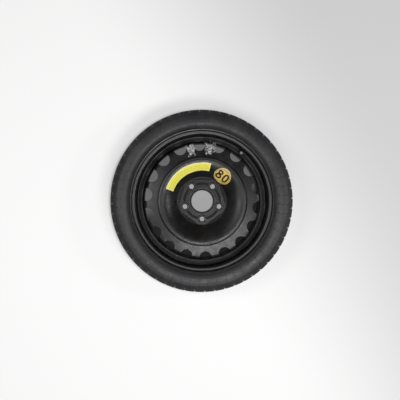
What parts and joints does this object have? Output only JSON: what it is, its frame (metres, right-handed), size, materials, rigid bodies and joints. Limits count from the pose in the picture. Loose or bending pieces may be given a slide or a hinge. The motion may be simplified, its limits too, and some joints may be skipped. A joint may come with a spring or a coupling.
{
  "type": "space saver spare wheel",
  "caption": "Narrow temporary spare wheel: pressed-steel rim and disc with tubeless tyre, snap-in valve and two yellow stickers.",
  "frame": {"origin": "middle of the hub bore on the face that bolts to the hub", "axes": "+Z along the wheel's axis, out of its outer face; the wheel lies flat on its inner flange; +X and +Y as the picture's right and up"},
  "size_m": [0.5674, 0.5674, 0.1376],
  "materials": {
    "black_paint": "satin black dipped paint",
    "weld_paint": "painted weld bead",
    "tyre_rubber": "moulded rubber, slightly dusty",
    "valve_rubber": "moulded rubber",
    "seal_rubber": "soft seal rubber",
    "brass": "turned brass",
    "spring_steel": "drawn spring wire",
    "grey_plastic": "moulded plastic",
    "yellow_sticker": "printed film, satin",
    "orange_sticker": "printed film, satin"
  },
  "bodies": {
    "wheel": {"rim": "black_paint", "wheel_disc": "black_paint", "rim_to_disc_welds": "weld_paint", "tyre": "tyre_rubber", "valve_rubber_body": "valve_rubber", "valve_stem": "brass", "valve_core_plug": "brass", "valve_core_barrel": "brass", "valve_core_seal": "seal_rubber", "valve_spring": "spring_steel", "arc_label": "yellow_sticker", "speed_label": "orange_sticker"},
    "pin": {"valve_pin": "brass", "valve_pin_seal": "seal_rubber"},
    "cap_lift": {"valve_cap_seal": "seal_rubber"},
    "cap": {"valve_cap": "grey_plastic"}
  },
  "joints": [
    {"name": "pin_press", "type": "slide", "parent": "wheel", "child": "pin", "axis": [0, 0, -1], "range_m": [0, 0.0015], "stiffness_N_per_m": 1200, "springref_m": -0.001, "deforming": ["valve_spring"]},
    {"name": "cap_rise", "type": "slide", "parent": "wheel", "child": "cap_lift", "axis": [0, 0, 1], "range_m": [0, 0.00555]},
    {"name": "cap_turn", "type": "hinge", "parent": "cap_lift", "child": "cap", "pos_m": [0.12033, 0.14807, 0], "axis": [0, 0, 1], "range_deg": [0, 2520]}
  ],
  "couplings": [
    {"joint": "cap_turn", "follows": "cap_rise", "rad_per_m": 7913.3}
  ]
}
